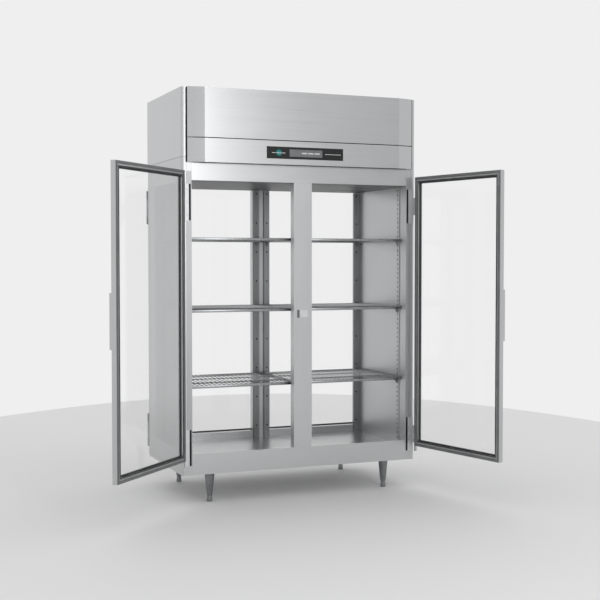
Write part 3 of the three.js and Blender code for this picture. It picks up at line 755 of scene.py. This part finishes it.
# %% Make the panes and the spacer
PANE = 4 * MM
SPACER_WIDTH = 7 * MM
SPACER_GAP = 0.2 * MM
UNIT_INSET = Vector((0.3, 0, 0.3)) * MM
unit_low, unit_high = glass_low + UNIT_INSET, glass_high - UNIT_INSET
inner_pane = bar(unit_low, (unit_high.x, unit_low.y + PANE, unit_high.z), ease=0.4 * MM)
outer_pane = bar((unit_low.x, unit_high.y - PANE, unit_low.z), unit_high, 0.4 * MM)
panes = joined(inner_pane, outer_pane)
spacer_depth = (unit_high.y - unit_low.y) - 2 * PANE - 2 * SPACER_GAP
spacer = ring(unit_low, unit_high, unit_high.y - PANE - SPACER_GAP, SPACER_WIDTH,
              [(0.05 * MM, spacer_depth)])
only(spacer)
bpy.ops.object.mode_set(mode="EDIT")
bpy.ops.mesh.select_all(action="SELECT")
bpy.ops.mesh.normals_make_consistent(inside=False)
bpy.ops.object.mode_set(mode="OBJECT")

# %% [markdown]
# ## Copy the glazing to every door
# The rear doors stand shut and the front doors stand open, so each copy is mirrored for its hand,
# turned to the front, and swung about its own hinge pin by the angle that the joint's range gives.

# %% Hang glazing in all four doors
centre = Matrix.Translation((MIDDLE_X, MIDDLE_Y, 0))
mirror = centre @ Matrix.Scale(-1, 4, (1, 0, 0)) @ centre.inverted()
half_turn = centre @ Matrix.Rotation(math.pi, 4, "Z") @ centre.inverted()


def hung(door):
    """The matrix that takes a piece from the rear right door to this door as it stands at rest."""
    joint = joints[door + "_door_swing"]
    pin = Matrix.Translation(joint["pos_m"])
    flipped = mirror if door in ("rear_left", "front_right") else Matrix.Identity(4)
    if door.startswith("rear"):
        return flipped
    opened = -joint["axis"][2] * joint["range_deg"][1]
    swing = pin @ Matrix.Rotation(math.radians(opened), 4, "Z") @ pin.inverted()
    return swing @ half_turn @ flipped


DOORS = ("front_left", "front_right", "rear_left", "rear_right")
for door in DOORS:
    body, matrix = door + "_door", hung(door)
    place(copy_of(gasket, matrix), door + "_magnetic_gasket", gasket_rubber, body, "door_gasket",
          door + "_door_gasket")
    place(copy_of(bead, matrix), door + "_glazing_bead", glazing_rubber, body, "door_gasket")
    place(copy_of(spacer, matrix), door + "_glass_spacer", channel_shade_and_spacer_steel, body, "door_frame_metal")
    place(copy_of(panes, matrix), door + "_glass_panes", pane_glass, body, "door_glass",
          door + "_door_glass")
for spent in (gasket, bead, spacer, panes):
    bpy.data.objects.remove(spent)

# %% [markdown]
# ## Hinge side shade strips
# A dull grey strip on each jamb on its hinge side is painted shade: it stands for the dark reflection
# of the door on the jamb.
# It is narrow beside the leaves, and between and above them it covers the full width of the jamb, so it
# is joined from one narrow bar and two wide ones.

# %% Cover the jambs
TRIM_NEAR = 608.5 * MM
TRIM_LEAF = 623.3 * MM
TRIM_FAR = 635 * MM
TRIM_PROUD = 0.5 * MM
TRIM_SUNK = 0.5 * MM
TRIM_LAP = 0.5 * MM
LEAF_CLEAR = 1 * MM


def jamb(door):
    """A door's jamb: its side of the middle, its outward direction along Y, and its face."""
    outward = -1 if door.startswith("front") else 1
    return (-1 if door.endswith("left") else 1), outward, (FRONT_Y if outward < 0 else BACK_Y)


for door in DOORS:
    side, outward, face = jamb(door)
    ys = sorted((face + outward * TRIM_PROUD, face - outward * TRIM_SUNK))
    lower_low, lower_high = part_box(door + "_lower_hinge")
    upper_low, upper_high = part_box(door + "_upper_hinge")
    frame_low, frame_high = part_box(door + "_door_frame")
    tall = sorted((MIDDLE_X + side * TRIM_NEAR, MIDDLE_X + side * TRIM_LEAF))
    wide = sorted((MIDDLE_X + side * (TRIM_LEAF - TRIM_LAP), MIDDLE_X + side * TRIM_FAR))
    bottom, top = min(frame_low.z, lower_low.z), max(frame_high.z, upper_high.z)
    stretches = [(tall, bottom, top), (wide, lower_high.z + LEAF_CLEAR, upper_low.z - LEAF_CLEAR),
                 (wide, upper_high.z + LEAF_CLEAR, frame_high.z)]
    strips = []
    for xs, start, end in stretches:
        strips.append(bar((xs[0], ys[0], start), (xs[1], ys[1], end), ease=0.2 * MM))
    # Painted shade: the dull strip stands for the dark reflection of the door on the jamb.
    place(joined(*strips), door + "_hinge_side_trim", jamb_shade_steel, "cabinet", "face_frame_steel")
print(len(DOORS), "jambs covered")

# %% [markdown]
# ## Hinge slots and leaf screws
# Beside each hinge leaf a black slot is painted shade: it stands for the shaded side of the raised
# leaf. Three small pan head screws hold the leaf. The slot is a long block with a sunk face. It stands
# hardly proud, because the gasket of the shut door crosses it.

# %% Fit the slots and the leaf screws
SLOT_NEAR = 612.5 * MM
SLOT_FAR = 622.5 * MM
SLOT_PROUD = 0.65 * MM
SLOT_DEEP = 3 * MM
LEAF_MIDDLE = 632 * MM
LEAF_SCREW_SIZE = 0.8
LEAF_SCREW_HEIGHTS = (0.15, 0.5, 0.85)
for door in DOORS:
    side, outward, face = jamb(door)
    turn = Matrix.Rotation(0 if outward < 0 else math.pi, 4, "Z")
    xs = sorted((MIDDLE_X + side * SLOT_NEAR, MIDDLE_X + side * SLOT_FAR))
    ys = sorted((face + outward * SLOT_PROUD, face - outward * SLOT_DEEP))
    for level in ("lower", "upper"):
        low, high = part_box(f"{door}_{level}_hinge")
        slot = bar((xs[0], ys[0], low.z), (xs[1], ys[1], high.z), ease=0.5 * MM)
        dish(slot, lambda c: abs(c.y - face - outward * SLOT_PROUD) < 0.05 * MM,
             rim=1.2 * MM, slope=0.3 * MM, depth=0.1 * MM)
        # Painted shade: the black slot stands for the shaded side of the raised hinge leaf.
        place(slot, f"{door}_{level}_leaf_shade_slot", painted_shade_black, "cabinet", "display_plastic")
        heads = []
        for part in LEAF_SCREW_HEIGHTS:
            z = low.z + (high.z - low.z) * part
            spot = Matrix.Translation((MIDDLE_X + side * LEAF_MIDDLE, face, z))
            heads.append(copy_of(screw, spot @ turn @ Matrix.Scale(LEAF_SCREW_SIZE, 4)))
        place(joined(*heads), f"{door}_{level}_leaf_screws", satin_nickel, "cabinet", "hinge_metal")
bpy.data.objects.remove(screw)
print(2 * len(DOORS), "closer slots, each with", len(LEAF_SCREW_HEIGHTS), "leaf screws beside it")

# %% [markdown]
# ## Strike plate
# Where the doors meet, a plate on the mullion takes the lock bolts, with a small dark catch at its
# left end. Both are thin blocks with sunk faces, flat enough for the gaskets to close on.

# %% Make the strike plate
STRIKE_PROUD = 0.3 * MM
STRIKE_SUNK = 0.5 * MM
PLATE_LEFT, PLATE_RIGHT = -18 * MM, 32 * MM
PLATE_LOW, PLATE_HIGH = 790 * MM, 836 * MM
CATCH_LEFT, CATCH_RIGHT = -33 * MM, -19 * MM
CATCH_LOW, CATCH_HIGH = 793 * MM, 834 * MM
strike_front, strike_back = FRONT_Y - STRIKE_PROUD, FRONT_Y + STRIKE_SUNK
plate = bar((MIDDLE_X + PLATE_LEFT, strike_front, BASE_Z + PLATE_LOW),
            (MIDDLE_X + PLATE_RIGHT, strike_back, BASE_Z + PLATE_HIGH), ease=0.2 * MM)
dish(plate, lambda c: c.y < FRONT_Y - 0.9 * STRIKE_PROUD, rim=3 * MM, slope=0.5 * MM, depth=0.2 * MM)
place(plate, "strike_plate", satin_nickel, "cabinet", "lock_metal")
catch = bar((MIDDLE_X + CATCH_LEFT, strike_front, BASE_Z + CATCH_LOW),
            (MIDDLE_X + CATCH_RIGHT, strike_back, BASE_Z + CATCH_HIGH), ease=0.2 * MM)
dish(catch, lambda c: c.y < FRONT_Y - 0.9 * STRIKE_PROUD, rim=2 * MM, slope=0.5 * MM, depth=0.3 * MM)
place(catch, "strike_catch", ceiling_shade_and_catch_grey, "cabinet", "control_box_enamel")
print("strike plate", round((PLATE_HIGH - PLATE_LOW) / MM), "mm tall")

# %% [markdown]
# ## The display
# The controller sits in the strip below the hood: a gloss black bezel with a grey lens in its middle,
# one coloured key at the left and printed marks. The marks are plain dashes, with no words.

# %% Fit the display's lens, key and marks
LENS_LEFT, LENS_RIGHT = -90 * MM, 95 * MM
LENS_HALF = 19 * MM
LENS_PROUD = 0.8 * MM
LENS_SUNK = 1 * MM
KEY_X = -150 * MM
KEY_RADIUS = 17 * MM
KEY_PROUD = 1.2 * MM
KEY_THICK = 2.2 * MM
MARK_PROUD = 1.5 * MM
MARK_SUNK = 0.2 * MM
DASHES = [(-188, 74, -1, 3.2), (-22, 30, 0, 7), (14, 30, 0, 7), (50, 30, 0, 7), (110, 92, -1, 2.6)]
bezel_low, bezel_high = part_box("display_module")
bezel_face = bezel_low.y
bezel_middle = (bezel_low.z + bezel_high.z) / 2
lens = bar((MIDDLE_X + LENS_LEFT, bezel_face - LENS_PROUD, bezel_middle - LENS_HALF),
           (MIDDLE_X + LENS_RIGHT, bezel_face + LENS_SUNK, bezel_middle + LENS_HALF), ease=0.5 * MM)
dish(lens, lambda c: c.y < bezel_face - LENS_PROUD + 0.05 * MM,
     rim=2.5 * MM, slope=0.3 * MM, depth=0.5 * MM)
place(lens, "display_lens", screen_lens, "cabinet", "display_plastic")
key = rod((MIDDLE_X + KEY_X, bezel_face - KEY_PROUD, bezel_middle), "Y", KEY_THICK, KEY_RADIUS,
          sides=32)
dish(key, lambda c: c.y < bezel_face - KEY_PROUD + 0.1 * MM,
     rim=3 * MM, slope=0.5 * MM, depth=0.6 * MM)
place(key, "display_key", key_teal, "cabinet", "display_plastic")
marks = []
for start, length, lift, tall in DASHES:
    x, z = MIDDLE_X + start * MM, bezel_middle + lift * MM
    marks.append(bar((x, bezel_face - MARK_PROUD, z - tall * MM / 2),
                     (x + length * MM, bezel_face - MARK_SUNK, z + tall * MM / 2), ease=0.3 * MM))
place(joined(*marks), "display_marks", mark_white, "cabinet", "display_plastic")
print(len(DASHES), "marks on the display")

# %% [markdown]
# ## Hood seam shade
# Black strips in the seams round the hood are painted shade for the shadow in the seams: one along the
# top of the display strip, and one upright at each end. They sit a little behind the faces, so each
# seam reads as a dark line.

# %% Lay the shade strips in the seams
SEAL_BACK = 1 * MM
SEAL_GAP = 0.4 * MM
SEAL_WIDTH = 3.2 * MM
SEAL_DEEP = 14 * MM
SEAL_ENDS = 90 * MM
SEAL_AHEAD = 11 * MM
SEAL_TOP = 2 * MM
hood_low, hood_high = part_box("hood_panel")
strip_low, strip_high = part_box("control_panel")
seals = [bar((hood_low.x + SEAL_ENDS, hood_low.y + SEAL_BACK, strip_high.z + SEAL_GAP),
             (hood_high.x - SEAL_ENDS, hood_low.y + SEAL_DEEP, hood_low.z - SEAL_GAP), ease=0.3 * MM)]
for side, edge in ((-1, hood_low.x), (1, hood_high.x)):
    xs = sorted((edge + side * SEAL_GAP, edge + side * (SEAL_GAP + SEAL_WIDTH)))
    seals.append(bar((xs[0], FRONT_Y - SEAL_AHEAD, strip_low.z),
                     (xs[1], FRONT_Y, hood_high.z - SEAL_TOP), ease=0.3 * MM))
# Painted shade: black strips stand for the shadow in the hood's seams.
place(joined(*seals), "hood_seam_shade_strips", painted_shade_black, "cabinet", "display_plastic")
print(len(seals), "hood seals")

# %% [markdown]
# ## Rear louvres
# Air for the condenser leaves through louvres pressed into the rear sheet. One louvre is a bar whose
# upper edge is pushed in, so that the lower edge stands out as a lip, and an array repeats it up the
# panel.

# %% Press the louvres
LOUVRE_WIDTH = 380 * MM
LOUVRE_TALL = 11 * MM
LOUVRE_STEP = 24 * MM
LOUVRE_COUNT = 8
LOUVRE_FIRST = 70 * MM
LOUVRE_X = 400 * MM
LOUVRE_OUT = 7 * MM
LOUVRE_SLOPE = 6 * MM
LOUVRE_SUNK = 1 * MM
louvre_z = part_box("machine_housing")[0].z + LOUVRE_FIRST
bank = []
for side in (-1, 1):
    x = MIDDLE_X + side * LOUVRE_X
    blade = bar((x - LOUVRE_WIDTH / 2, BACK_Y - LOUVRE_SUNK, louvre_z),
                (x + LOUVRE_WIDTH / 2, BACK_Y + LOUVRE_OUT, louvre_z + LOUVRE_TALL), ease=0.8 * MM)
    pick(blade, "EDGE", lambda c: c.y > BACK_Y + LOUVRE_OUT - 1 * MM
         and c.z > louvre_z + LOUVRE_TALL - 2 * MM)
    bpy.ops.transform.translate(value=(0, -LOUVRE_SLOPE, 0))
    bpy.ops.object.mode_set(mode="OBJECT")
    bank.append(repeat(blade, LOUVRE_COUNT, (0, 0, LOUVRE_STEP)))
place(joined(*bank), "rear_louvres", steel_across, "cabinet", "cabinet_steel")
print(len(bank), "banks of", LOUVRE_COUNT, "louvres")

# %% [markdown]
# ## Refrigerant pipes
# Copper pipes join the compressor to the two coils. Each is a curve with a round section, made a
# mesh, because a bent pipe is simplest drawn by the line of its middle.

# %% Bend the pipes
PIPE_RADIUS = 4.8 * MM


def pipe(name, points):
    """A bent copper pipe whose middle follows these points."""
    rest()
    curve = bpy.data.curves.new(name, "CURVE")
    curve.dimensions = "3D"
    curve.bevel_depth = PIPE_RADIUS
    curve.bevel_resolution = 3
    curve.resolution_u = 6
    curve.use_fill_caps = True
    line = curve.splines.new("NURBS")
    line.points.add(len(points) - 1)
    for spot, point in zip(line.points, points):
        spot.co = (*point, 1)
    line.order_u = 3
    line.use_endpoint_u = True
    piece = bpy.data.objects.new(name, curve)
    bpy.context.collection.objects.link(piece)
    only(piece)
    bpy.ops.object.convert(target="MESH")
    place(bpy.context.object, name, copper, "cabinet", "coil_fins", smooth=50)


pump_low, pump_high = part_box("compressor")
coil_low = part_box("condenser_coil")[0]
cold_low, cold_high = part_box("evaporator_coil")
pump_x, pump_y = (pump_low.x + pump_high.x) / 2, (pump_low.y + pump_high.y) / 2
out_x = pump_x + 40 * MM
upper_run, lower_run = pump_high.z + 70 * MM, pump_high.z + 20 * MM
coil_y, coil_z = coil_low.y + 30 * MM, upper_run - 10 * MM
back_y = pump_y + 60 * MM
cold_y, cold_z = cold_low.y + 150 * MM, cold_high.z - 30 * MM
pipe("discharge_pipe", [
    (out_x, pump_y - 40 * MM, pump_high.z - 25 * MM), (out_x, pump_y - 40 * MM, upper_run),
    (pump_x + 90 * MM, coil_y, upper_run), (coil_low.x - 25 * MM, coil_y, coil_z),
    (coil_low.x + 4 * MM, coil_y, coil_z)])
pipe("suction_pipe", [
    (out_x, pump_y + 50 * MM, pump_high.z - 30 * MM), (out_x, pump_y + 50 * MM, lower_run),
    (pump_x + 120 * MM, back_y, lower_run), (cold_low.x - 130 * MM, back_y, lower_run),
    (cold_low.x - 70 * MM, cold_y, cold_z), (cold_low.x + 14 * MM, cold_y, cold_z)])
print("two pipes bent")

# %% [markdown]
# ## Studio
# A pale oval floor and a pale surround, a little darker towards the viewer's side, give satin steel
# what it needs: something bright and plain to reflect. One large soft light stands six metres out,
# almost straight ahead of the cabinet, and puts the broad highlight on the left of the hood. Neither
# the camera nor the glass shows the lamp itself.

# %% Lay the floor and set the lights
FLOOR_WIDE = 5.0
FLOOR_LONG = 14.4
FLOOR_BEHIND = 3.87
FLOOR_LEFT = 0.13
LAMP_AIM = 1.2
rest()
view = Vector((math.sin(CAMERA_TURN), math.cos(CAMERA_TURN), 0))
across = Vector((view.y, -view.x, 0))
middle = camera.location - view * FLOOR_BEHIND - across * FLOOR_LEFT
bpy.ops.mesh.primitive_circle_add(
    vertices=256, radius=1, fill_type="NGON", location=(middle.x, middle.y, 0),
    rotation=(0, 0, -CAMERA_TURN))
floor = bpy.context.object
floor.name = "studio_floor"
floor.scale = (FLOOR_WIDE, FLOOR_LONG, 1)
floor_paint, _, floor_shader = finish("studio_floor_paint", Roughness=0.7)
floor_shader.inputs["Base Color"].default_value = linear("#E8E8E8")
floor.data.materials.append(floor_paint)
floor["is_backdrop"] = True

world = bpy.data.worlds.new("studio")
bpy.context.scene.world = world
world.use_nodes = True
backdrop = world.node_tree.nodes["Background"]
bearing = add(world.node_tree, "ShaderNodeTexCoord").outputs["Generated"]
parts = add(world.node_tree, "ShaderNodeSeparateXYZ", {}, {"Vector": bearing})
depth = add(world.node_tree, "ShaderNodeMapRange", {"From Min": -1.0, "From Max": 1.0},
            {"Value": parts.outputs["Y"]})
shade = two_tone(world.node_tree, depth.outputs[0], "#CBCBCB", "#EFEFEF", 0.03, 0.25)
world.node_tree.links.new(shade, backdrop.inputs["Color"])
bpy.context.scene.view_settings.view_transform = "Standard"


def softbox(name, turn, away, height, width, tall, power):
    """A soft light at a bearing from the middle of the cabinet's front, aimed back at it."""
    light = bpy.data.lights.new(name, "AREA")
    light.shape = "RECTANGLE"
    light.size, light.size_y, light.energy = width, tall, power
    lamp = bpy.data.objects.new(name, light)
    angle = math.radians(turn)
    target = Vector((MIDDLE_X, FRONT_Y, LAMP_AIM))
    lamp.location = (MIDDLE_X + math.sin(angle) * away, FRONT_Y - math.cos(angle) * away, height)
    lamp.rotation_euler = (target - lamp.location).to_track_quat("-Z", "Y").to_euler()
    lamp.visible_camera = False
    lamp.visible_transmission = False
    bpy.context.collection.objects.link(lamp)


softbox("key_softbox", 2.5, 6.0, 2.2, 1.3, 3.0, 60)

# %% [markdown]
# ## The size of the finished model
# The looks must not change the object's size, so the box of the finished model is printed.

# %% Write the sizes
low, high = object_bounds()
print("visual box", [round(v, 3) for v in low], [round(v, 3) for v in high])
